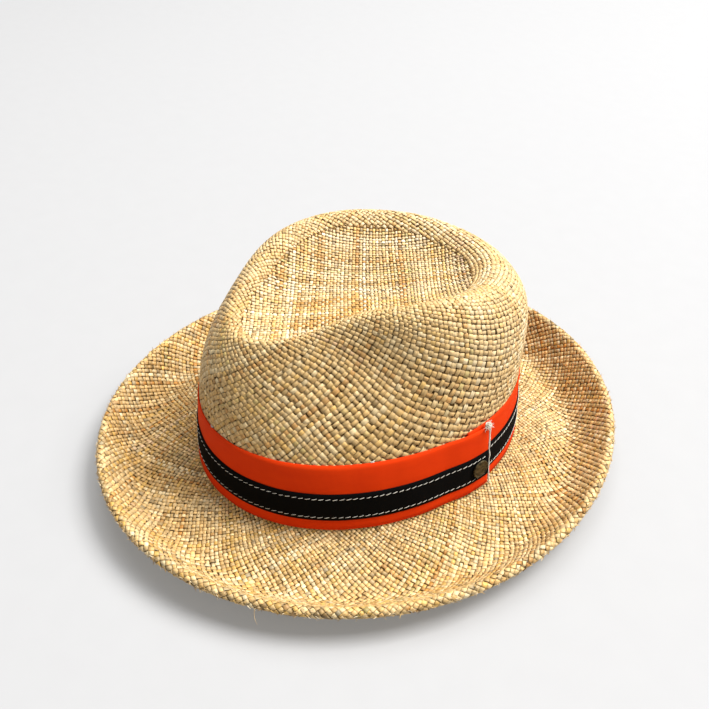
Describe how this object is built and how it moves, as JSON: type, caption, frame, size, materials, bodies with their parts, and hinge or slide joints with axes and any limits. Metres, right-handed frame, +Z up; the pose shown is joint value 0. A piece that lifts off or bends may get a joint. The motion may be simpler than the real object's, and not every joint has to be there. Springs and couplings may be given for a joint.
{
  "type": "fedora hat",
  "caption": "Woven straw fedora with a teardrop crown, rolled-up brim edge, lapped two-tone ribbon band, small round badge and leather sweatband.",
  "frame": {"origin": "on the table under the middle of the hat, which stands on its brim", "axes": "+Z up, the front of the hat faces -Y, +X to the wearer's left"},
  "size_m": [0.2924, 0.3214, 0.1221],
  "materials": {
    "straw": "plain-woven natural straw, matt with a slight waxy sheen",
    "wire_steel": "drawn steel wire, satin",
    "thread": "cream sewing thread",
    "ribbon_orange": "orange ribbon, fine weave, soft sheen",
    "ribbon_black": "black ribbon, fine weave, matt",
    "badge_bronze": "aged dark bronze, mottled",
    "sweatband_leather": "tan leather, fine grain",
    "label_cloth": "blank woven cloth tab"
  },
  "bodies": {
    "hat": {"straw_body": "straw", "brim_wire": "wire_steel", "wire_joiner": "wire_steel", "hem_stitches": "thread", "ribbon_base": "ribbon_orange", "ribbon_stripe": "ribbon_black", "stripe_stitches_upper": "thread", "stripe_stitches_lower": "thread", "ribbon_tacks": "thread", "lap_thread": "thread", "lap_knot": "thread", "sweatband": "sweatband_leather", "sweatband_reed": "sweatband_leather", "sweatband_stitches": "thread", "sweatband_seam_stitches": "thread", "sweatband_bow": "ribbon_black", "size_label": "label_cloth"},
    "badge": {"badge_disc": "badge_bronze", "badge_post": "badge_bronze", "badge_backplate": "badge_bronze"}
  },
  "joints": [
    {"name": "badge_turn", "type": "hinge", "parent": "hat", "child": "badge", "pos_m": [0.08583, 0.02461, 0.02738], "axis": [0.9869, 0.1269, 0.0994], "continuous": true}
  ]
}
